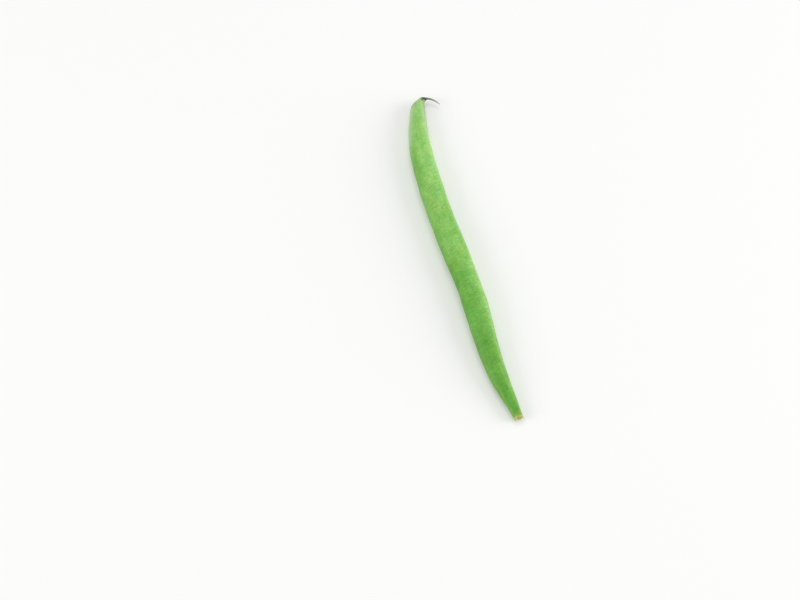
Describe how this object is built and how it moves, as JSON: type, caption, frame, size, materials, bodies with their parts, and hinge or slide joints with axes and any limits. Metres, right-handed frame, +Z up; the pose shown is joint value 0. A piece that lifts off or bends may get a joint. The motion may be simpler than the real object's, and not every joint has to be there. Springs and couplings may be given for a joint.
{
  "type": "green bean",
  "caption": "Fresh green bean pod, long and gently curved, with a cut stem end and a curled tail, lying on its flat side.",
  "frame": {"origin": "on the resting surface, under the middle of the pod's box", "axes": "+X along the pod from the cut stem end to the tail, +Y away from the seam that carries the seeds, +Z up"},
  "size_m": [0.13, 0.0168, 0.0074],
  "materials": {
    "bean_skin": "satin fresh green skin, yellower toward the tip, with faint cross streaks and small specks; dark thin tail and pale straw cut end"
  },
  "bodies": {
    "root": {"bean_pod": "bean_skin"}
  },
  "joints": []
}
